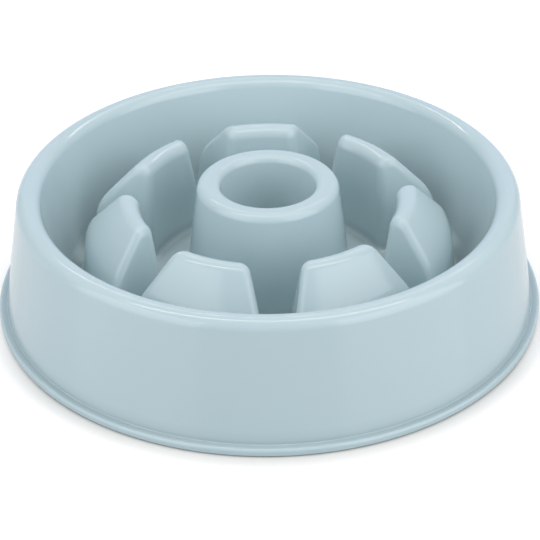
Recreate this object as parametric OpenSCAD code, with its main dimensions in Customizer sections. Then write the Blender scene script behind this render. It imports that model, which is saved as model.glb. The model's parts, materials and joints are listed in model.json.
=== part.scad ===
// Slow feeder bowl with rubber feet pressed in under its base.
// The real bowl is one moulding. Its wall, basin and ring are drawn in equal panels, with the posts and
// the baffles apart from them, all face to face.
// Millimetres, +Z up, origin on the standing surface under the middle of the bowl.

/* [Bowl] */
// Diameter over the base flange
base_d = 300; // [280:1:330]
// Height of the rim above the standing surface
bowl_h = 69; // [64:0.5:80]
// Wall thickness of the moulding
wall_t = 2.6; // [2:0.1:3]
// Lean of the outer wall from upright, in degrees
skirt_draft = 9.4; // [6:0.1:11]
// Width of the rim between its sharp corners
rim_w = 11; // [10:0.1:14]
// Rounding of the rim's outer edge, as a share of the rim's width
rim_out_share = 0.58; // [0.46:0.01:0.6]
// Rounding of the rim's inner edge, as a share of the rim's width
rim_in_share = 0.58; // [0.3:0.01:0.6]

/* [Base flange] */
// Distance that the flange stands out from the foot of the wall
flange_w = 4.35; // [3.5:0.05:7]
// Thickness of the flange
flange_t = 3.9; // [3:0.1:5]
// Rounding of the flange's upper edge
flange_edge_round = 1.5; // [0.8:0.1:1.6]
// Rounding of the flange's lower edge
flange_low_round = 0.7; // [0.3:0.1:1]
// Hollow fillet between the flange and the wall
flange_fillet = 0.6; // [0.3:0.1:2.4]

/* [Basin] */
// Height of the basin floor above the standing surface
floor_h = 10; // [7:0.1:14]
// Lean of the basin wall from upright, in degrees
basin_draft = 13.5; // [12:0.1:14.5]
// Fillet at the foot of the basin wall
basin_fillet = 7.5; // [4:0.5:7.5]

/* [Centre ring] */
// Height of the ring's top above the standing surface
ring_h = 69.8; // [60:0.1:76]
// Outer radius of the ring's top at its sharp corner, as a share of the flange's radius
ring_share = 0.254; // [0.244:0.002:0.268]
// Width of the ring's top between its sharp corners
ring_w = 11.8; // [10.2:0.1:13]
// Lean of the ring's outer wall, in degrees
ring_out_draft = 7.5; // [5:0.1:9]
// Lean of the wall of the cup inside the ring, in degrees
ring_in_draft = 6; // [4:0.1:8]
// Rounding of the ring's outer top edge
ring_out_round = 5; // [3.5:0.1:6]
// Rounding of the ring's inner top edge
ring_in_round = 4.2; // [1:0.1:4.5]
// Fillet at the foot of the ring
ring_fillet = 4; // [2:0.1:6]
// Fillet at the bottom of the cup inside the ring
cup_fillet = 6; // [3:0.1:8]

/* [Baffles] */
// Number of baffles round the ring
baffle_count = 7; // [5:1:9]
// Height of the baffles' crests above the standing surface
baffle_h = 63.9; // [56:0.1:66]
// Radius of the crest, from the bowl's axis, as a share of the flange's radius
crest_share = 0.508; // [0.494:0.002:0.52]
// Rounding of the crest
crest_round = 6.5; // [5:0.1:7.5]
// Fall of the top face towards the rim, in degrees from level
top_slope = 47; // [42:0.5:50]
// Lean of the baffle's inner wall, in degrees
face_draft = 4; // [1:0.1:6]
// Width of level floor from the baffle's outer wall to the fillet of the basin wall
end_gap = 0.15; // [0.1:0.05:4]
// Lean of the baffle's outer wall, in degrees
end_draft = 6; // [3:0.1:7]
// Rounding of the top face's outer end
end_round = 4; // [3:0.1:6]
// Width of the channel between two baffles, level with their crests
channel_w = 26.8; // [26.2:0.1:32]
// Narrowing of each side of the channel on its way out, in degrees
channel_taper = 2.8; // [-4:0.1:3]
// Lean of the side walls, in degrees
side_draft = 10; // [6:0.1:11]
// Rounding of the side edges
side_round = 4.3; // [3:0.1:5]

/* [Feet] */
// Distance of a foot's middle in from the flange's edge
foot_inset = 20; // [18:0.1:23]
// Distance that the feet stand out below the flange
foot_proud = 0.3; // [0.2:0.1:1.2]
// Diameter of a foot's head
foot_d = 17; // [15:0.1:18]
// Distance from the flange's lower face up to the tubes' lower ends
seat_rise = 2.5; // [1.5:0.1:3]
// Outer diameter of the tube that a foot is pressed into
tube_d = 18; // [16.5:0.1:19]
// Wall of the tube
tube_wall = 1.8; // [1.4:0.1:2.2]
// Gap between a barb of the plug and its tube
plug_gap = 0.05; // [0.02:0.01:0.1]
// Height that each barb stands out from the plug's stem
barb_h = 0.6; // [0.3:0.1:1]
// Length of one barb
barb_l = 2.6; // [2:0.1:4]
// Number of barbs on a plug
barb_count = 3; // [2:1:4]
// Rounding of the foot's lower edge
foot_edge_round = 0.6; // [0.3:0.1:0.8]

/* [Ribs] */
// Thickness of the ribs between the tubes, the outer wall and the basin
rib_t = 2; // [1.6:0.1:2.4]
// Height of the ribs' inner ends above the basin floor
rib_in_rise = 2.5; // [2:0.1:4]

/* [Hidden] */
bowl_colour = "#b9ced6";
foot_colour = "#8f989c";
step_angle = 360 / baffle_count;
side_splay = step_angle / 2 + channel_taper;
foot_count = baffle_count;
// Steps in each round stretch of an outline
arc_steps = 8;
// Flat facets across a rounded side edge, less one
edge_facets = 3;
// Passes that bring a fillet's axis onto its ring
ring_passes = 4;
// Distance that a cut runs past what it cuts
overrun = 5;
circle_fn = 96;
flange_r = base_d / 2;
foot_pitch_r = flange_r - foot_inset;
flange_top = foot_proud + flange_t;
skirt_foot_r = flange_r - flange_w;
rim_out_r = skirt_foot_r - (bowl_h - flange_top) * tan(skirt_draft);
rim_in_r = rim_out_r - rim_w;
rim_out_round = rim_w * rim_out_share;
rim_in_round = rim_w * rim_in_share;
basin_foot_r = rim_in_r - (bowl_h - floor_h) * tan(basin_draft);
ring_out_r = flange_r * ring_share;
ring_hole_r = ring_out_r - ring_w;
ring_foot_r = ring_out_r + (ring_h - floor_h) * tan(ring_out_draft);
cup_foot_r = ring_hole_r - (ring_h - floor_h) * tan(ring_in_draft);
floor_low = floor_h - wall_t;
// Outward normals of a baffle's inner wall, top face and outer wall, as radius and height
face_normal = [-cos(face_draft), sin(face_draft)];
top_normal = [sin(top_slope), cos(top_slope)];
end_normal = [cos(end_draft), sin(end_draft)];
crest_r = flange_r * crest_share;
// Half the width of a baffle at its crest, between its sharp sides
crest_y = crest_r * tan(step_angle / 2) - channel_w / 2 / cos(step_angle / 2);
crest_centre = [crest_r, baffle_h - crest_round];
crest_corner = crest_centre + crest_round * (face_normal + top_normal) / (1 + face_normal * top_normal);
// Radius at which a baffle's outer wall meets the floor
end_foot_r = basin_foot_r - basin_fillet * tan((90 - basin_draft) / 2) - end_gap;
end_corner = meet(
    crest_corner, [top_normal.y, -top_normal.x],
    [end_foot_r, floor_h], [-end_normal.y, end_normal.x]
);
// Size of a block that is large enough to cut a baffle on one side of a plane
half_space = base_d;
// Where a baffle's rounded upright edges are set out
edge_z = (baffle_h + floor_h) / 2;
// Where a baffle's rounded top edges are set out
edge_r = (crest_r + end_corner.x) / 2;
tube_r = tube_d / 2;
bore_r = tube_r - tube_wall;
seat_z = foot_proud + seat_rise;
// Radius at which the outer wall meets the basin, on the flat of the rim
split_r = (
    rim_out_r - rim_out_round * tan((90 - skirt_draft) / 2)
    + rim_in_r + rim_in_round * tan((90 - basin_draft) / 2)
) / 2;
// Radius at which the basin meets the centre ring, on the floor
hub_r = ring_foot_r + ring_fillet;

// Height of the baffle's top face at a radius
function top_z(r) = crest_centre.y + (crest_round - (r - crest_r) * top_normal.x) / top_normal.y;
// Radius of the outer wall at a height
function skirt_r(z) = skirt_foot_r - (z - flange_top) * tan(skirt_draft);
// Radius of the basin wall at a height
function basin_r(z) = basin_foot_r + (z - floor_h) * tan(basin_draft);
// Radius of a baffle's inner wall and outer wall at a height
function face_r(z) = crest_corner.x - (crest_corner.y - z) * tan(face_draft);
function end_wall_r(z) = end_corner.x + (end_corner.y - z) * tan(end_draft);

// Outlines are paths of [radius, height, rounding], with the material on their left
function unit(v) = v / norm(v);
function flat(p) = [p.x, p.y];
function side(a, b) = let (d = unit(flat(b) - flat(a))) [-d.y, d.x];
function turns_left(a, b, c) = cross(flat(b) - flat(a), flat(c) - flat(b)) > 0;
function meet(a, u, b, v) = a + u * cross(b - a, v) / cross(u, v);
// One rounded corner, as points on its arc
function corner(a, b, c) =
    let (
        u = unit(flat(a) - flat(b)),
        v = unit(flat(c) - flat(b)),
        open = acos(u * v),
        centre = flat(b) + unit(u + v) * b.z / sin(open / 2),
        first = flat(b) + u * b.z / tan(open / 2) - centre,
        start = atan2(first.y, first.x),
        sweep = (turns_left(a, b, c) ? 1 : -1) * (180 - open)
    )
    [for (i = [0:arc_steps]) centre + b.z * [cos(start + sweep * i / arc_steps), sin(start + sweep * i / arc_steps)]];
function rounded(p) =
    let (last = len(p) - 1)
    [for (i = [0:last]) each (i == 0 || i == last || p[i].z == 0) ? [flat(p[i])] : corner(p[i - 1], p[i], p[i + 1])];
// Rounding of a corner that is moved into the material
function inner_round(a, b, c, t) = turns_left(a, b, c) ? max(b.z - t, 0) : b.z + t;
function moved_corner(a, b, c, t) =
    let (
        m = side(a, b) * t,
        n = side(b, c) * t,
        q = meet(flat(b) + m, flat(b) - flat(a), flat(b) + n, flat(c) - flat(b))
    )
    [q.x, q.y, inner_round(a, b, c, t)];
// A whole path moved into the material by a distance
function moved(p, t) =
    let (
        last = len(p) - 1,
        start = flat(p[0]) + side(p[0], p[1]) * t,
        end = flat(p[last]) + side(p[last - 1], p[last]) * t
    )
    concat(
        [[start.x, start.y, 0]],
        [for (i = [1:last - 1]) moved_corner(p[i - 1], p[i], p[i + 1], t)],
        [[end.x, end.y, 0]]
    );
function reversed(p) = [for (i = [len(p) - 1:-1:0]) p[i]];

// Wall of even thickness under a path
function wall_under(p) = concat(rounded(p), reversed(rounded(moved(p, wall_t))));
// Start of a path on the outer wall that comes to a given height once it is moved into the wall
function skirt_start(z) = let (up = z + wall_t * sin(skirt_draft)) [skirt_r(up), up, 0];

outer_wall_path = [
    [skirt_foot_r, foot_proud, 0],
    [flange_r, foot_proud, flange_low_round],
    [flange_r, flange_top, flange_edge_round],
    [skirt_foot_r, flange_top, flange_fillet],
    [rim_out_r, bowl_h, rim_out_round],
    [split_r, bowl_h, 0]
];
outer_wall_inside = moved([skirt_start(foot_proud), [rim_out_r, bowl_h, rim_out_round], [split_r, bowl_h, 0]], wall_t);
basin_path = [
    [split_r, bowl_h, 0],
    [rim_in_r, bowl_h, rim_in_round],
    [basin_foot_r, floor_h, basin_fillet],
    [hub_r, floor_h, 0]
];
ring_path = [
    [hub_r, floor_h, 0],
    [ring_foot_r, floor_h, ring_fillet],
    [ring_out_r, ring_h, ring_out_round],
    [ring_hole_r, ring_h, ring_in_round],
    [cup_foot_r, floor_h, cup_fillet],
    [0, floor_h, 0]
];

// Baffle outline, its foot at a given height
function baffle_path(z) = [
    [end_wall_r(z), z, 0],
    [end_corner.x, end_corner.y, end_round],
    [crest_corner.x, crest_corner.y, crest_round],
    [face_r(z), z, 0]
];

// Normal of a baffle's side wall and half its width, moved inwards
function side_normal(s) =
    [-sin(side_splay) * cos(side_draft), s * cos(side_splay) * cos(side_draft), sin(side_draft)];
function side_y(x, z, inset) =
    let (n = side_normal(1))
    crest_y - ((x - crest_r) * n.x + (z - baffle_h) * n.z + inset) / n.y;
// Point on a ring of given radius and height that lies one side rounding inside the side wall
function on_ring(r, z, y, passes) =
    let (x = sqrt(r * r - y * y))
    passes == 0 ? [x, y, z] : on_ring(r, z, side_y(x, z, side_round), passes - 1);
// Normal of a wall of revolution where it passes a point
function ring_normal(n, p) = [n.x * unit(flat(p)).x, n.x * unit(flat(p)).y, n.y];
function mirrored(p, s) = [p.x, s * p.y, p.z];

// Everything beyond a plane through a point
module beyond(p, n) {
    translate(p)
        rotate([0, acos(unit(n).z), atan2(n.y, n.x)])
            translate([-half_space / 2, -half_space / 2, 0])
                cube(half_space);
}

// Flat facets that round an edge between a side wall and a wall of revolution
module edge_cuts(p, wall_normal, s) {
    for (i = [1:edge_facets]) {
        share = i / (edge_facets + 1);
        n = unit(side_normal(s) * (1 - share) + mirrored(ring_normal(wall_normal, p), s) * share);
        beyond(mirrored(p, s) + n * side_round, n);
    }
}

// Outline turned about the axis over one baffle's or one panel's share of the circle
module ring_sector(points) {
    rotate([0, 0, -step_angle / 2])
        rotate_extrude(angle = step_angle, $fn = circle_fn)
            polygon(points);
}

// Solid form of one baffle on the +X side, or with an inset the hollow inside it
module baffle_form(inset, foot_z) {
    top_p = on_ring(edge_r, top_z(edge_r) - side_round / top_normal.y, crest_y, ring_passes);
    face_p = on_ring(face_r(edge_z) + side_round / cos(face_draft), edge_z, crest_y, ring_passes);
    end_p = on_ring(end_wall_r(floor_h) - side_round / cos(end_draft), floor_h, crest_y, ring_passes);
    difference() {
        ring_sector(rounded(moved(baffle_path(foot_z), inset)));
        for (s = [-1, 1]) {
            beyond([crest_r, s * side_y(crest_r, baffle_h, inset), baffle_h], side_normal(s));
            if (inset == 0) {
                edge_cuts(top_p, top_normal, s);
                edge_cuts(face_p, face_normal, s);
                edge_cuts(end_p, end_normal, s);
            }
        }
    }
}

module at_baffle(i) {
    rotate([0, 0, 90 + step_angle * (i - 1)])
        children();
}

// Midway between two baffles, where the panels, the posts and the feet are
module at_foot(i) {
    rotate([0, 0, 90 + step_angle * (i - 1 / 2)])
        children();
}

// Panel of the flared wall, with the base flange below and the outer half of the rim above
module outer_wall(i) {
    color(bowl_colour)
        at_foot(i)
            ring_sector(concat(rounded(outer_wall_path), reversed(rounded(outer_wall_inside))));
}

// Panel of the inner half of the rim, the sloping wall inside it, and the floor, open under each baffle
module basin(i) {
    color(bowl_colour)
        at_foot(i)
            difference() {
                ring_sector(wall_under(basin_path));
                for (s = [-1, 1])
                    rotate([0, 0, s * step_angle / 2])
                        baffle_form(wall_t, floor_low - overrun);
            }
}

// Panel of the raised ring round the cup in the middle of the floor
module centre_ring(i) {
    color(bowl_colour)
        at_foot(i)
            ring_sector(wall_under(ring_path));
}

// Hollow wedge that stands on the floor, its top sloping down towards the rim
module baffle(i) {
    color(bowl_colour)
        at_baffle(i)
            difference() {
                baffle_form(0, floor_h);
                baffle_form(wall_t, floor_h - overrun);
            }
}

// Space under the rim between the inner faces of the outer wall and the basin
function under_rim() =
    let (
        in_z = floor_h + rib_in_rise,
        edge = moved([
            skirt_start(seat_z),
            [rim_out_r, bowl_h, rim_out_round],
            [rim_in_r, bowl_h, rim_in_round],
            [basin_r(in_z), in_z, 0]
        ], wall_t)
    )
    concat(rounded(edge), [[foot_pitch_r - tube_r, seat_z]]);

// Tube that holds a foot, from its lower end up to the rim, with a rib on each side of it
module foot_post(i) {
    color(bowl_colour)
        at_foot(i)
            intersection() {
                ring_sector(under_rim());
                difference() {
                    union() {
                        translate([0, -rib_t / 2, 0])
                            cube([flange_r, rib_t, bowl_h]);
                        translate([foot_pitch_r, 0, 0])
                            cylinder(r = tube_r, h = bowl_h, $fn = circle_fn);
                    }
                    translate([foot_pitch_r, 0, -overrun])
                        cylinder(r = bore_r, h = bowl_h + 2 * overrun, $fn = circle_fn);
                }
            }
}

// A rubber foot: a flat head, and a stem with barbs that hold in the tube
module foot(i) {
    barb_r = bore_r - plug_gap;
    stem_r = barb_r - barb_h;
    head = [
        [0, 0, 0],
        [foot_d / 2, 0, foot_edge_round],
        [foot_d / 2, seat_z, 0],
        [stem_r, seat_z, 0]
    ];
    barbs = [
        for (k = [0:barb_count - 1])
            each [
                [stem_r, seat_z + barb_l * (k + 1 / 2)],
                [barb_r, seat_z + barb_l * (k + 1 / 2)],
                [stem_r, seat_z + barb_l * (k + 1)]
            ]
    ];
    color(foot_colour)
        at_foot(i)
            translate([foot_pitch_r, 0, 0])
                rotate_extrude($fn = circle_fn)
                    polygon(concat(rounded(head), barbs, [[0, seat_z + barb_l * barb_count]]));
}

for (i = [1:baffle_count])
    outer_wall(i);
for (i = [1:baffle_count])
    basin(i);
for (i = [1:baffle_count])
    centre_ring(i);
for (i = [1:baffle_count])
    baffle(i);
for (i = [1:foot_count])
    foot_post(i);
for (i = [1:foot_count])
    foot(i);
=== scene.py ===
import json
import math

import bmesh
import bpy
import numpy as np
from mathutils import Matrix, Vector

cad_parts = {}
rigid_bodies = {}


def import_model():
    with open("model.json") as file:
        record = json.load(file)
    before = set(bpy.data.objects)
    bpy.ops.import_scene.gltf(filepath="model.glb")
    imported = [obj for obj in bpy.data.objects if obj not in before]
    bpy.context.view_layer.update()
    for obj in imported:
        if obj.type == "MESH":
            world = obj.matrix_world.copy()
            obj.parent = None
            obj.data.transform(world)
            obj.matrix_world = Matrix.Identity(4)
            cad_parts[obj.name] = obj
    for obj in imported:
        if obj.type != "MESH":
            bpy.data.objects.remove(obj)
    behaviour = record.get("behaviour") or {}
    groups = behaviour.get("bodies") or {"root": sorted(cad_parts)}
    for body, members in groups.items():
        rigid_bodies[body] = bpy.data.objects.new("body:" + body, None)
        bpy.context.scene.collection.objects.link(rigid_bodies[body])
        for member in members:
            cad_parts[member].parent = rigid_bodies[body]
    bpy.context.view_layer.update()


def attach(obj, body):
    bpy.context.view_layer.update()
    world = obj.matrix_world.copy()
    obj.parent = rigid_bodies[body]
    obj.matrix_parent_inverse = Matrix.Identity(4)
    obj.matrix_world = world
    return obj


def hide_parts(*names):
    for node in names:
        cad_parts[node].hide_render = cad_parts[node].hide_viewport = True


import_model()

# The bowl's wall, rim and flange.
# One injection moulding in pale grey-blue polypropylene: a flared outer wall on a thin base flange,
# rolled over a rounded rim into the sloping wall of the basin. All sizes in millimetres.
MM = 0.001
BAFFLES = 7
SECTOR = 2 * math.pi / BAFFLES
wall_t = 2.6
flange_r, flange_low, flange_top = 150.0, 0.3, 4.2
flange_fillet, flange_edge_round, flange_low_round, flange_lip_round = 0.6, 1.5, 0.7, 0.4
least_round = 0.3
skirt_foot_r, skirt_draft = 145.65, math.radians(9.4)
rim_h, rim_w, rim_out_round, rim_in_round = 69.0, 11.0, 6.38, 6.38
floor_h, basin_draft, basin_fillet = 10.0, math.radians(13.5), 7.5
rim_out_r = skirt_foot_r - (rim_h - flange_top) * math.tan(skirt_draft)
rim_in_r = rim_out_r - rim_w
basin_foot_r = rim_in_r - (rim_h - floor_h) * math.tan(basin_draft)


def skirt_r(z):
    return skirt_foot_r - (z - flange_top) * math.tan(skirt_draft)


def basin_r(z):
    return basin_foot_r + (z - floor_h) * math.tan(basin_draft)


def moved(corners, depth):
    """Corners (radius, height, rounding) moved to the right of their path, with roundings to suit."""
    pts = [np.array(c[:2], float) for c in corners]
    out = []
    for i, c in enumerate(corners):
        dirs = []
        if i > 0:
            dirs.append((pts[i] - pts[i - 1]) / np.linalg.norm(pts[i] - pts[i - 1]))
        if i < len(pts) - 1:
            dirs.append((pts[i + 1] - pts[i]) / np.linalg.norm(pts[i + 1] - pts[i]))
        right = [np.array([d[1], -d[0]]) for d in dirs]
        if len(dirs) == 1:
            p, rounding = pts[i] + right[0] * depth, 0.0
        else:
            m = right[0] + right[1]
            p = pts[i] + m * depth * 2 / (m @ m)
            turn = dirs[0][0] * dirs[1][1] - dirs[0][1] * dirs[1][0]
            rounding = max(c[2] - depth, least_round) if turn < 0 else c[2] + depth
        out.append((p[0], p[1], rounding))
    return out


def rounded_path(corners, arc_deg=7.5, longest=9.0):
    """Rows (radius, height, normal) along a path of round corners; the air is on its left."""
    pts = [np.array(c[:2], float) for c in corners]
    rows = []
    last = None
    for i, c in enumerate(corners):
        if i in (0, len(pts) - 1):
            d = pts[1] - pts[0] if i == 0 else pts[-1] - pts[-2]
            d = d / np.linalg.norm(d)
            stretch = [(pts[i], np.array([-d[1], d[0]]))]
        else:
            u = (pts[i - 1] - pts[i]) / np.linalg.norm(pts[i - 1] - pts[i])
            v = (pts[i + 1] - pts[i]) / np.linalg.norm(pts[i + 1] - pts[i])
            half = math.acos(np.clip(u @ v, -1, 1)) / 2
            centre = pts[i] + (u + v) / np.linalg.norm(u + v) * c[2] / math.sin(half)
            turn = u[1] * v[0] - u[0] * v[1]
            a = pts[i] + u * c[2] / math.tan(half) - centre
            start = math.atan2(a[1], a[0])
            sweep = math.copysign(math.pi - 2 * half, turn)
            n = max(3, math.ceil(abs(math.degrees(sweep)) / arc_deg))
            stretch = []
            for k in range(n + 1):
                e = np.array([math.cos(start + sweep * k / n), math.sin(start + sweep * k / n)])
                stretch.append((centre + e * c[2], e if turn < 0 else -e))
        if last is not None:
            gap = stretch[0][0] - last[0]
            n = math.ceil(np.linalg.norm(gap) / longest)
            rows += [(last[0] + gap * k / n, last[1]) for k in range(1, n)]
        rows += stretch
        last = stretch[-1]
    return rows


# Lines round the bowl are closer together where they pass the baffles' sides
half_lines = [0, .095, .19, .28, .37, .46, .55, .64, .72, .789, .844, .89, .931, .968, 1]
lateral = np.array([-f for f in half_lines[:0:-1]] + half_lines)
azimuths = np.concatenate([math.pi / 2 + SECTOR * (k + lateral[:-1] / 2) for k in range(BAFFLES)])
# Grids of points and normals, whether each closes on itself, and whether its faces turn over
skin = []


def about_axis(turn):
    """Turns rows of points round the bowl's axis."""
    cos, sin = math.cos(turn), math.sin(turn)
    return np.array([[cos, sin, 0], [-sin, cos, 0], [0, 0, 1]])


def add_rows(rows):
    """One surface of revolution, through every line round the bowl."""
    r = np.array([p[0] for p, n in rows])[:, None]
    z = np.array([p[1] for p, n in rows])[:, None] + 0 * azimuths
    nr = np.array([n[0] for p, n in rows])[:, None]
    nz = np.array([n[1] for p, n in rows])[:, None] + 0 * azimuths
    pos = np.stack([r * np.cos(azimuths), r * np.sin(azimuths), z], -1)
    nor = np.stack([nr * np.cos(azimuths), nr * np.sin(azimuths), nz], -1)
    skin.append((pos, nor, True, False))


# Where the sloping wall passes to the part of the basin that the baffles shape
cell_out_z = 17.5
cell_out = (basin_r(cell_out_z), cell_out_z, 0)
inside_start_z = flange_low + wall_t * math.sin(skirt_draft)
inside = moved([
    cell_out,
    (rim_in_r, rim_h, rim_in_round),
    (rim_out_r, rim_h, rim_out_round),
    (skirt_r(inside_start_z), inside_start_z, 0),
], wall_t)[::-1]
add_rows(rounded_path([
    cell_out,
    (rim_in_r, rim_h, rim_in_round),
    (rim_out_r, rim_h, rim_out_round),
    (skirt_foot_r, flange_top, flange_fillet),
    (flange_r, flange_top, flange_edge_round),
    (flange_r, flange_low, flange_low_round),
    (inside[0][0], inside[0][1], flange_lip_round),
] + inside[1:]))

# The centre ring and its cup.
# A raised ring in the middle of the floor, moulded with the rest: a thick round lip on walls that
# lean in towards the top, round a cup that is open above and closed at the floor.
ring_h, ring_out_r, ring_hole_r = 69.8, 38.1, 26.3
ring_out_draft, ring_in_draft = math.radians(7.5), math.radians(6)
ring_fillet, ring_out_round, ring_in_round, cup_fillet = 4.0, 5.0, 4.2, 6.0
ring_foot_r = ring_out_r + (ring_h - floor_h) * math.tan(ring_out_draft)
cup_foot_r = ring_hole_r - (ring_h - floor_h) * math.tan(ring_in_draft)
# Where the ring's own surface passes to the part of the basin that the baffles shape
cell_in_r = 61.5
ring_corners = [
    (cell_in_r, floor_h, 0),
    (ring_foot_r, floor_h, ring_fillet),
    (ring_out_r, ring_h, ring_out_round),
    (ring_hole_r, ring_h, ring_in_round),
    (cup_foot_r, floor_h, cup_fillet),
    (0, floor_h, 0),
]
add_rows(rounded_path(ring_corners[::-1]))
add_rows(rounded_path(moved(ring_corners[::-1], wall_t)[::-1]))

# The baffles.
# Seven hollow wedges that stand on the floor round the ring, moulded with it: an upright inner wall, a
# round crest, and a top face that slopes down towards the rim. Their feet run into the floor in fillets.
crest_r, crest_z, crest_round = 76.2, 57.4, 6.5
top_slope, face_draft, end_draft = math.radians(47), math.radians(4), math.radians(6)
end_gap, end_round, side_round, baffle_fillet = 0.15, 4.0, 4.3, 2.5
# Past this radius a point belongs to the basin's sloping wall, not to its floor
floor_edge_r = 122
channel_w = 26.8
half_crest_w = crest_r * math.tan(SECTOR / 2) - channel_w / 2 / math.cos(SECTOR / 2)
baffle_h = crest_z + crest_round
splay, side_draft = SECTOR / 2 + math.radians(2.8), math.radians(10)
face_n = np.array([-math.cos(face_draft), math.sin(face_draft)])
top_n = np.array([math.sin(top_slope), math.cos(top_slope)])
end_n = np.array([math.cos(end_draft), math.sin(end_draft)])
end_foot_r = basin_foot_r - basin_fillet * math.tan((math.pi / 2 - basin_draft) / 2) - end_gap
# The top's slope, carried on to the bowl's axis, and the corner where it meets the leaning outer wall
end_lean, top_fall = math.tan(end_draft), math.tan(top_slope)
apex_z = crest_z + crest_round / math.cos(top_slope) + crest_r * top_fall
end_r = (end_foot_r - end_lean * (apex_z - floor_h)) / (1 - end_lean * top_fall)
end_z = apex_z - end_r * top_fall
side_n = np.array([-math.sin(splay), math.cos(splay), math.tan(side_draft)]) * math.cos(side_draft)


def outward(a, b, radius):
    """The larger of two distances, with the corner between them rounded."""
    corner = np.hypot(np.maximum(a + radius, 0), np.maximum(b + radius, 0))
    return np.minimum(-radius, np.maximum(a, b)) + corner


def inward(a, b, radius):
    return -outward(-a, -b, radius)


def depth_of(p):
    """Distance of points from the basin's upper skin, below zero in the plastic. A baffle is on +X."""
    x, y, z = p[..., 0], p[..., 1], p[..., 2]
    r = np.hypot(x, y)
    wall = outward(outward((r - skirt_r(z)) * math.cos(skirt_draft), z - rim_h, rim_out_round),
                   (basin_r(z) - r) * math.cos(basin_draft), rim_in_round)
    base = inward(wall, np.maximum(z - floor_h, r - floor_edge_r), basin_fillet)
    ring_r = ring_foot_r - (z - floor_h) * math.tan(ring_out_draft)
    ring = outward((r - ring_r) * math.cos(ring_out_draft), z - ring_h, ring_out_round)
    base = inward(base, ring, ring_fillet)
    dr, dz = r - crest_r, z - crest_z
    face = dr * face_n[0] + dz * face_n[1] - crest_round
    top = dr * top_n[0] + dz * top_n[1] - crest_round
    on_arc = (face_n[0] * dz - face_n[1] * dr <= 0) & (dr * top_n[1] - dz * top_n[0] <= 0)
    outline = np.where(on_arc, np.hypot(dr, dz) - crest_round, np.maximum(face, top))
    outline = outward(outline, (r - end_r) * end_n[0] + (z - end_z) * end_n[1], end_round)
    side = np.stack([x - crest_r, np.abs(y) - half_crest_w, z - baffle_h], -1) @ side_n
    return inward(base, outward(outline, side, side_round), baffle_fillet)


def slope_of(p, step=0.002):
    g = np.stack([depth_of(p + d) - depth_of(p - d) for d in np.eye(3) * step], -1)
    return g / np.linalg.norm(g, axis=-1, keepdims=True)


def side_angle(r, z):
    """Half the angle that a baffle takes up on a circle round the axis, found in a few passes."""
    y = half_crest_w + 0 * r
    for _ in range(12):
        x = np.sqrt(r * r - y * y)
        y = half_crest_w - ((x - crest_r) * side_n[0] + (z - baffle_h) * side_n[2]) / side_n[1]
    return np.arcsin(y / r)


def face_r(z):
    return crest_r + (crest_round - (z - crest_z) * face_n[1]) / face_n[0]


def end_wall_r(z):
    return end_r - (z - end_z) * math.tan(end_draft)


# Rows over the top, from a little below the crest's rounding to a little below the outer edge's
crest = np.array([crest_r, crest_z]) + crest_round * (face_n + top_n) / (1 + face_n @ top_n)
over = rounded_path([
    (face_r(crest_z - 2), crest_z - 2, 0),
    (crest[0], crest[1], crest_round),
    (end_r, end_z, end_round),
    (end_wall_r(end_z - 5), end_z - 5, 0),
], arc_deg=12, longest=4.0)
over = np.array([p for p, n in over])[1:-1]
top_a = side_angle(over[:, 0], over[:, 1])[:, None] * lateral
cap = np.stack([over[:, :1] + 0 * top_a, top_a, over[:, 1:] + 0 * top_a], -1)
# The way round the baffle: along the inner wall, out along one side, back along the outer wall and in
# along the other side
share = (over[:, 0] - over[0, 0]) / (over[-1, 0] - over[0, 0])
toe_r = face_r(floor_h) + share * (end_wall_r(floor_h) - face_r(floor_h))
toe_a = side_angle(toe_r, floor_h)[:, None] * lateral
toe = np.stack([toe_r[:, None] + 0 * toe_a, toe_a, floor_h + 0 * toe_a], -1)
# The floor's own path from the ring to the sloping wall, so that rows can follow it
floor_corners = [(cell_in_r, floor_h, 0), (basin_foot_r, floor_h, basin_fillet), cell_out]
floor_rows = np.array([p for p, n in rounded_path(floor_corners, longest=1.0)])
along = np.concatenate([[0], np.cumsum(np.linalg.norm(np.diff(floor_rows, axis=0), axis=1))])
edge_s = share * along[-1]
edge_a = (SECTOR / 2 + 0 * share)[:, None] * lateral
edge = np.stack([edge_s[:, None] + 0 * edge_a, edge_a], -1)


def loop(grid):
    return np.concatenate([grid[0, :-1], grid[:-1, -1], grid[-1, :0:-1], grid[:0:-1, 0]])


# Shares of the way down the walls and of the way out over the floor, closer where the skin bends
wall_steps = [0, .03, .06, .10, .15, .21, .3, .42, .55, .68, .79, .87, .925, .96, .98, 1]
floor_steps = [.06, .13, .22, .33, .46, .62, .8, 1]
tops, toes, edges = loop(cap), loop(toe), loop(edge)
rings = [tops + (toes - tops) * f for f in wall_steps]
toe_s = np.interp(toes[:, 0], floor_rows[:, 0], along)
for f in floor_steps:
    s = toe_s + (edges[:, 0] - toe_s) * f
    a = toes[:, 1] + (edges[:, 1] - toes[:, 1]) * f
    r, z = (np.interp(s, along, floor_rows[:, i]) for i in (0, 1))
    rings.append(np.stack([r, a, z], -1))


def to_skin(polar):
    """Points given as radius, angle and height, brought onto the rounded skin, with its normals."""
    r, a, z = polar[..., 0], polar[..., 1], polar[..., 2]
    p = np.stack([r * np.cos(a), r * np.sin(a), z], -1)
    for _ in range(14):
        p = p - depth_of(p)[..., None] * slope_of(p)
    return p, slope_of(p)


cell = [(to_skin(cap), False), (to_skin(np.array(rings)), True)]
for k in range(BAFFLES):
    spin = about_axis(math.pi / 2 + SECTOR * k)
    for (p, n), closed in cell:
        skin.append((p @ spin, n @ spin, closed, closed))
        skin.append(((p - n * wall_t) @ spin, -n @ spin, closed, not closed))

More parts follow.
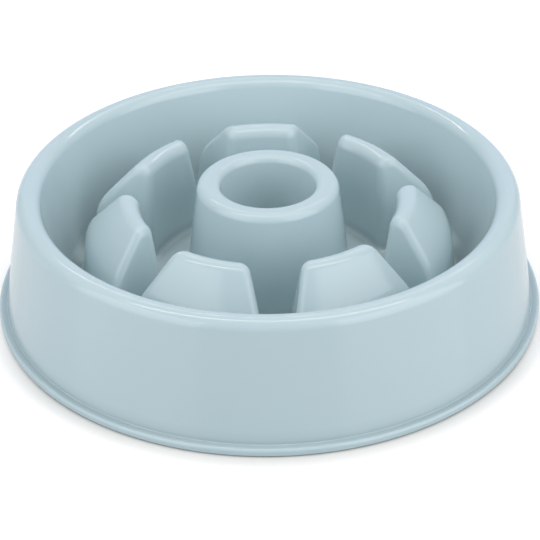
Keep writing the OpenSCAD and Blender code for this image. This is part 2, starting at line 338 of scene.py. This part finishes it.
# The posts under the rim.
# Seven tubes that reach from the rim down to the feet, each with a rib to the outer wall and one to the
# basin, moulded with the bowl where they are out of sight. Thin walls, square to the mould's parting.
post_r, tube_r, bore_r, seat_z, rib_t = 130.0, 9.0, 7.2, 2.8, 2.0
rib_in_z = floor_h + 2.5
middle = np.array([p for p, n in rounded_path(moved([
    (basin_r(8), 8, 0),
    (rim_in_r, rim_h, rim_in_round),
    (rim_out_r, rim_h, rim_out_round),
    (skirt_r(0), 0, 0),
], wall_t / 2))])


def ceiling(r):
    """Height of the middle of the wall above a radius, where posts and ribs end out of sight."""
    return np.interp(r, middle[:, 0], middle[:, 1])


def grid_faces(rows, cols, closed, flip, start):
    i, j = np.meshgrid(np.arange(rows - 1), np.arange(cols if closed else cols - 1), indexing="ij")
    a, b = i * cols + j, i * cols + (j + 1) % cols
    quads = np.stack([a, a + cols, b + cols, b], -1).reshape(-1, 4) + start
    return quads[:, ::-1] if flip else quads


def closed_piece(name, points, faces, sharp_angle):
    """A closed piece from points in millimetres; doubled points merge and only real edges stay sharp."""
    mesh = bpy.data.meshes.new(name)
    mesh.from_pydata((points * MM).tolist(), [], faces)
    bm = bmesh.new()
    bm.from_mesh(mesh)
    bmesh.ops.remove_doubles(bm, verts=bm.verts, dist=0.001 * MM)
    bmesh.ops.recalc_face_normals(bm, faces=bm.faces)
    bm.to_mesh(mesh)
    bm.free()
    mesh.shade_smooth()
    mesh.set_sharp_from_angle(angle=math.radians(sharp_angle))
    piece = bpy.data.objects.new(name, mesh)
    bpy.context.scene.collection.objects.link(piece)
    return piece


posts = []
post_sides, rib_steps, soften = 48, 16, 0.3
around = np.linspace(0, 2 * math.pi, post_sides, endpoint=False)
tube = []
for radius, up in (
        (tube_r, True), (tube_r, False), (tube_r - soften, False),
        (bore_r + soften, False), (bore_r, False), (bore_r, True)):
    x, y = post_r + radius * np.cos(around), radius * np.sin(around)
    low = seat_z + (0 if radius not in (tube_r, bore_r) else soften)
    z = ceiling(np.hypot(x, y)) if up else low + 0 * x
    tube.append(np.stack([x, y, z], -1))
posts.append((np.array(tube + tube[:1]), True))
# Each rib's lower edge runs from radius and height to radius and height, 1 mm into what it joins
for start_r, start_z, end_r in (
        (basin_r(rib_in_z) + 1, rib_in_z, post_r - bore_r - 1),
        (post_r + bore_r + 1, seat_z, skirt_r(seat_z) - 1)):
    r = np.linspace(start_r, end_r, rib_steps)
    low = np.interp(r, [start_r, max(post_r - tube_r, start_r + 0.1)], [start_z, seat_z])
    section = []
    for y, up in (
            (rib_t / 2, True), (rib_t / 2, False), (rib_t / 2 - soften, None),
            (soften - rib_t / 2, None), (-rib_t / 2, False), (-rib_t / 2, True)):
        z = ceiling(r) if up else low + (soften if up is False else 0)
        section.append(np.stack([r, y + 0 * r, z], -1))
    posts.append((np.array(section + section[:1]), False))

# The moulding put together.
# Wall, basin, ring and baffles become one closed skin, as they leave the mould. Under it stand the posts
# with their ribs, each a closed piece whose walls run into the skin's.
verts, normals, faces = [], [], []
start = 0
for p, n, closed, flip in skin:
    rows, cols = p.shape[:2]
    verts.append(p.reshape(-1, 3))
    normals.append(n.reshape(-1, 3))
    faces.append(grid_faces(rows, cols, closed, flip, start))
    start += rows * cols
mesh = bpy.data.meshes.new("bowl_moulding")
mesh.from_pydata((np.concatenate(verts) * MM).tolist(), [], np.concatenate(faces).tolist())
layer = mesh.attributes.new("skin_normal", "FLOAT_VECTOR", "POINT")
layer.data.foreach_set("vector", np.concatenate(normals).astype(np.float32).ravel())
bm = bmesh.new()
bm.from_mesh(mesh)
bmesh.ops.remove_doubles(bm, verts=bm.verts, dist=0.004 * MM)
bm.to_mesh(mesh)
bm.free()
mesh.shade_smooth()
found = np.zeros(len(mesh.vertices) * 3, np.float32)
mesh.attributes["skin_normal"].data.foreach_get("vector", found)
mesh.normals_split_custom_set_from_vertices(found.reshape(-1, 3))
bowl = bpy.data.objects.new("bowl_moulding", mesh)
bpy.context.scene.collection.objects.link(bowl)
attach(bowl, "root")
for k in range(1, BAFFLES + 1):
    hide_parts(*(f"{panel}_{k}" for panel in ("outer_wall", "basin", "centre_ring", "baffle")))

for k in range(BAFFLES):
    spin = about_axis(math.pi / 2 + SECTOR * (k + 0.5))
    verts, faces, start = [], [], 0
    for p, closed in posts:
        rows, cols = p.shape[:2]
        verts.append(p.reshape(-1, 3) @ spin)
        faces += grid_faces(rows, cols, closed, False, start).tolist()
        if not closed:
            faces.append([start + i * cols for i in range(rows - 1)])
            faces.append([start + i * cols + cols - 1 for i in range(rows - 1)][::-1])
        start += rows * cols
    post = closed_piece(f"post_{k + 1}", np.concatenate(verts), faces, 35)
    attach(post, "root")
    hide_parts(f"foot_post_{k + 1}")

# Smooth injection-moulded polypropylene, filled a pale grey-blue.
# A polished mould gives it an even, slightly soft gloss with a very slow unevenness where the thick and
# thin parts cooled, and a faint fine grain that only shows in the edges of highlights.
def linear(hex_colour):
    c = [int(hex_colour[i:i + 2], 16) / 255 for i in (1, 3, 5)]
    return [v / 12.92 if v <= 0.04045 else ((v + 0.055) / 1.055) ** 2.4 for v in c] + [1]


def node(tree, kind, links=(), **settings):
    """Adds a node: settings are its properties or sockets by name, and links are (socket, output)."""
    n = tree.nodes.new(kind)
    for key, value in settings.items():
        if hasattr(n, key):
            setattr(n, key, value)
    for key, value in settings.items():
        if not hasattr(n, key):
            n.inputs[key.replace("_", " ")].default_value = value
    for key, output in links:
        tree.links.new(n.inputs[key], output)
    return n


def moulded_polypropylene():
    mat = bpy.data.materials.new("moulded_polypropylene")
    mat.use_nodes = True
    tree = mat.node_tree
    tree.nodes.clear()
    place = node(tree, "ShaderNodeTexCoord").outputs["Object"]
    # Flow of the melt, about 60 mm from light to dark
    flow = node(tree, "ShaderNodeTexNoise", [("Vector", place)], Scale=17.0, Detail=2.0, Roughness=0.45)
    tint = node(tree, "ShaderNodeMix", [("Factor", flow.outputs["Fac"])], data_type="RGBA")
    tint.inputs["A"].default_value = linear("#b9cdd1")
    tint.inputs["B"].default_value = linear("#bdd1d5")
    # Painted shade: closed corners, such as the groove above the flange, are darkened where ambient
    # occlusion finds them
    corner = node(tree, "ShaderNodeAmbientOcclusion", only_local=True, samples=6, Distance=8 * MM)
    painted_shade = node(tree, "ShaderNodeMapRange", [("Value", corner.outputs["AO"])],
                From_Min=0.5, From_Max=0.95, To_Min=0.68, To_Max=1.0)
    painted_shade_tint = node(tree, "ShaderNodeMix", [
        ("Factor", painted_shade.outputs["Result"]), ("B", tint.outputs["Result"])], data_type="RGBA")
    painted_shade_tint.inputs["A"].default_value = (0, 0, 0, 1)
    # Handling and the mould's polish, in patches of about 12 mm
    polish = node(tree, "ShaderNodeTexNoise", [("Vector", place)], Scale=85.0, Detail=3.0, Roughness=0.5)
    gloss = node(tree, "ShaderNodeMapRange", [("Value", polish.outputs["Fac"])],
                 From_Min=0.3, From_Max=0.7, To_Min=0.08, To_Max=0.11)
    # A grain of about 0.6 mm, coarser than the real one so that it shows at all
    grain = node(tree, "ShaderNodeTexNoise", [("Vector", place)],
                 Scale=1700.0, Detail=2.0, Roughness=0.6)
    # Sink marks of about 30 mm, where the ribs behind draw the skin in by a hair
    sink = node(tree, "ShaderNodeTexNoise", [("Vector", place)], Scale=32.0, Detail=1.0, Roughness=0.4)
    slow = node(tree, "ShaderNodeBump", [("Height", sink.outputs["Fac"])],
                Strength=0.12, Distance=0.2 * MM)
    fine = node(tree, "ShaderNodeBump", [
        ("Height", grain.outputs["Fac"]), ("Normal", slow.outputs["Normal"])],
        Strength=0.05, Distance=0.02 * MM)
    shader = node(tree, "ShaderNodeBsdfPrincipled", [
        ("Base Color", painted_shade_tint.outputs["Result"]),
        ("Roughness", gloss.outputs["Result"]),
        ("Normal", fine.outputs["Normal"])], IOR=1.49)
    node(tree, "ShaderNodeOutputMaterial", [("Surface", shader.outputs["BSDF"])])
    return mat


plastic = moulded_polypropylene()
for piece in [bowl] + [o for o in bpy.data.objects if o.name.startswith("post_")]:
    piece.data.materials.clear()
    piece.data.materials.append(plastic)

# The feet.
# Seven plugs of grey thermoplastic rubber, pressed into the tubes by their barbed stems. The head's sole
# has fine rings for grip, and its lower edge is rounded. They hold the bowl just off the floor.
foot_r, foot_round, barb_r, stem_r, barb_l, barbs = 8.5, 0.6, 7.15, 6.55, 2.6, 3
dimple_r, dimple_deep = 1.0, 0.35
grip_rings, grip_from_r, ring_pitch, ring_deep = 6, 1.3, 0.95, 0.3
sole = [(0.0, dimple_deep), (dimple_r, dimple_deep), (grip_from_r, 0.0)]
for k in range(grip_rings):
    r = grip_from_r + ring_pitch * k
    # A flat land, then a groove with sloping sides
    sole += [(r + 0.45, 0.0), (r + 0.6, ring_deep), (r + 0.8, ring_deep), (r + ring_pitch, 0.0)]
edge_arc = [(foot_r - foot_round + foot_round * math.sin(t), foot_round - foot_round * math.cos(t))
            for t in np.linspace(0, math.pi / 2, 7)]
stem = [(foot_r, seat_z - 0.2), (foot_r - 0.2, seat_z), (stem_r, seat_z)]
for k in range(barbs):
    z = seat_z + barb_l * (k + 0.5)
    stem += [(stem_r, z), (barb_r - 0.1, z), (barb_r, z + 0.1), (stem_r, z + barb_l / 2)]
outline = np.array(sole + edge_arc + stem + [(0, seat_z + barb_l * barbs)])


def moulded_rubber():
    mat = bpy.data.materials.new("moulded_rubber")
    mat.use_nodes = True
    tree = mat.node_tree
    tree.nodes.clear()
    place = node(tree, "ShaderNodeTexCoord").outputs["Object"]
    # Grain of a spark-eroded mould, about 0.4 mm, and dust that greys it in patches of 3 mm
    grain = node(tree, "ShaderNodeTexNoise", [("Vector", place)],
                 Scale=2500.0, Detail=3.0, Roughness=0.6)
    dust = node(tree, "ShaderNodeTexNoise", [("Vector", place)], Scale=330.0, Detail=4.0, Roughness=0.6)
    tint = node(tree, "ShaderNodeMix", [("Factor", dust.outputs["Fac"])], data_type="RGBA")
    tint.inputs["A"].default_value = linear("#899296")
    tint.inputs["B"].default_value = linear("#979fa3")
    dull = node(tree, "ShaderNodeMapRange", [("Value", grain.outputs["Fac"])], To_Min=0.6, To_Max=0.78)
    bump = node(tree, "ShaderNodeBump", [("Height", grain.outputs["Fac"])],
                Strength=0.35, Distance=0.05 * MM)
    shader = node(tree, "ShaderNodeBsdfPrincipled", [
        ("Base Color", tint.outputs["Result"]),
        ("Roughness", dull.outputs["Result"]),
        ("Normal", bump.outputs["Normal"])], IOR=1.5)
    node(tree, "ShaderNodeOutputMaterial", [("Surface", shader.outputs["BSDF"])])
    return mat


rubber = moulded_rubber()
r, a = outline[:, :1], around
plug = np.stack([post_r + r * np.cos(a), r * np.sin(a), outline[:, 1:] + 0 * a], -1).reshape(-1, 3)
plug_faces = grid_faces(len(outline), len(around), True, False, 0).tolist()
for k in range(BAFFLES):
    spin = about_axis(math.pi / 2 + SECTOR * (k + 0.5))
    foot = closed_piece(f"rubber_foot_{k + 1}", plug @ spin, plug_faces, 32)
    foot.data.materials.append(rubber)
    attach(foot, "root")
    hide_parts(f"foot_{k + 1}")

# The camera, at the photograph's height, distance and angle.
# It looks down at about 33 degrees, from a little to the left of the line through a baffle and the axis.
# Lengths in the photograph are in its pixels, and the lens's centre lies a pixel left of its middle.
photo_px, lens_px, middle_px, sensor_mm = 540, 1715.5, 268.94, 36
tilt, roll, swing = 0.5694, -0.012, math.radians(-2.6)
cam_y, cam_z = 806.35, 528.79
ahead = Vector((0, math.cos(tilt), -math.sin(tilt)))
up = Vector((0, math.sin(tilt), math.cos(tilt)))
across = Vector((1, 0, 0))
cam_x_axis = across * math.cos(roll) + up * math.sin(roll)
cam_y_axis = up * math.cos(roll) - across * math.sin(roll)
camera = bpy.data.objects.new("camera", bpy.data.cameras.new("camera"))
camera.data.sensor_width = sensor_mm
camera.data.lens = lens_px / photo_px * sensor_mm
camera.data.shift_x = (photo_px / 2 - middle_px) / photo_px
axes = Matrix((cam_x_axis, cam_y_axis, -ahead)).transposed().to_4x4()
stand = Matrix.Translation(Vector((0, -cam_y, cam_z)) * MM)
camera.matrix_world = Matrix.Rotation(swing, 4, "Z") @ stand @ axes
bpy.context.scene.collection.objects.link(camera)
bpy.context.scene.camera = camera

# The studio: a plain white floor, an upright panel on each side, a large box above, a low bluish box
# behind, and two narrow strips that draw the bright lines along the rims. The floor's white comes partly
# from its own colour and partly from what the camera and reflections see; its own colour takes the bowl's
# real shadow, and a contact shadow is painted into the glow near the bowl.
def seen_as(tree, matt, mirrored, direct):
    """A level for each kind of ray: light on a matt surface, a reflection, and the camera's view."""
    path = node(tree, "ShaderNodeLightPath")
    sheen = node(tree, "ShaderNodeMath", [
        (0, path.outputs["Is Glossy Ray"]),
        (1, path.outputs["Is Transmission Ray"])], operation="MAXIMUM")
    first = node(tree, "ShaderNodeMapRange", [("Value", sheen.outputs[0])], To_Min=matt, To_Max=mirrored)
    last = node(tree, "ShaderNodeMapRange", [
        ("Value", path.outputs["Is Camera Ray"]),
        ("To Min", first.outputs["Result"])], To_Max=direct)
    return last.outputs["Result"]


# The painted contact shadow's reach in metres and its steepness, and half the floor's side in metres
contact_reach, contact_power, floor_half = 0.018, 3.4, 6
floor_mat = bpy.data.materials.new("studio_floor")
floor_mat.use_nodes = True
tree = floor_mat.node_tree
tree.nodes.clear()
paper = node(tree, "ShaderNodeBsdfPrincipled", Base_Color=linear("#cacac6"), Roughness=0.12, IOR=1.5)
# Painted contact shadow: the glow fades close to what stands on the floor, by ambient occlusion
near = node(tree, "ShaderNodeAmbientOcclusion", Distance=contact_reach)
steep = node(tree, "ShaderNodeMath", [(0, near.outputs["AO"])], operation="POWER")
steep.inputs[1].default_value = contact_power
# The painted shadow is strongest in front of the bowl and fades out along its sides, as if the light came
# from behind
where = node(tree, "ShaderNodeNewGeometry").outputs["Position"]
spot = node(tree, "ShaderNodeSeparateXYZ", [("Vector", where)])
front = node(tree, "ShaderNodeMapRange", [("Value", spot.outputs["Y"])],
             From_Min=-0.01, From_Max=-0.09, To_Min=0.35, To_Max=1.0)
shade = node(tree, "ShaderNodeMix", [
    ("Factor", front.outputs["Result"]), ("B", steep.outputs[0])], data_type="FLOAT")
shade.inputs["A"].default_value = 1.0
painted_shadow_glow = node(tree, "ShaderNodeMath", [
    (0, shade.outputs["Result"]), (1, seen_as(tree, 0.0, 0.38, 0.55))], operation="MULTIPLY")
glow = node(tree, "ShaderNodeEmission", [("Strength", painted_shadow_glow.outputs[0])])
both = node(tree, "ShaderNodeAddShader", [(0, paper.outputs[0]), (1, glow.outputs[0])])
node(tree, "ShaderNodeOutputMaterial", [("Surface", both.outputs[0])])
mesh = bpy.data.meshes.new("studio_floor")
corners = [(x * floor_half, y * floor_half, 0) for x, y in ((-1, -1), (1, -1), (1, 1), (-1, 1))]
mesh.from_pydata(corners, [], [(0, 1, 2, 3)])
mesh.materials.append(floor_mat)
studio_floor = bpy.data.objects.new("studio_floor", mesh)
bpy.context.scene.collection.objects.link(studio_floor)

world = bpy.data.worlds.new("studio")
bpy.context.scene.world = world
world.use_nodes = True
tree = world.node_tree
tree.nodes.clear()
sky = node(tree, "ShaderNodeBackground", [("Strength", seen_as(tree, 0.40, 0.5, 0.5))],
           Color=linear("#e0efff"))
node(tree, "ShaderNodeOutputWorld", [("Surface", sky.outputs[0])])

# Name, place, height aimed at over the axis, size, power in watts and tone
for name, place, aim_z, size, power, tone in (
        ("panel_left", (-0.74, -0.52, 0.54), 0.54, (0.96, 1.02), 5.2, "#fffdff"),
        ("panel_right", (0.74, -0.52, 0.54), 0.54, (0.96, 1.02), 6.0, "#fffdff"),
        ("box_above", (0, 0.3, 1.8), 0.03, (2.4, 1.6), 3.6, "#ffe8da"),
        ("strip_above", (0, -0.06, 0.80), 0.03, (1.1, 0.10), 2.3, "#fff3ea"),
        ("strip_back", (0, 0.74, 0.89), 0.03, (1.1, 0.06), 1.7, "#fff6f0"),
        ("box_back", (0, 1.0, 0.42), 0.42, (1.6, 0.70), 2.0, "#bcd0ff")):
    lamp = bpy.data.lights.new(name, "AREA")
    lamp.shape = "RECTANGLE"
    lamp.size, lamp.size_y = size
    lamp.energy = power
    lamp.color = linear(tone)[:3]
    box = bpy.data.objects.new(name, lamp)
    facing = (Vector((0, 0, aim_z)) - Vector(place)).to_track_quat("-Z", "Y").to_matrix().to_4x4()
    box.matrix_world = Matrix.Rotation(swing, 4, "Z") @ Matrix.Translation(place) @ facing
    box.visible_camera = False
    # The large box's light comes off the ceiling, so that nothing mirrors its outline
    box.visible_glossy = name != "box_above"
    bpy.context.scene.collection.objects.link(box)

bpy.context.scene.view_settings.view_transform = "Standard"
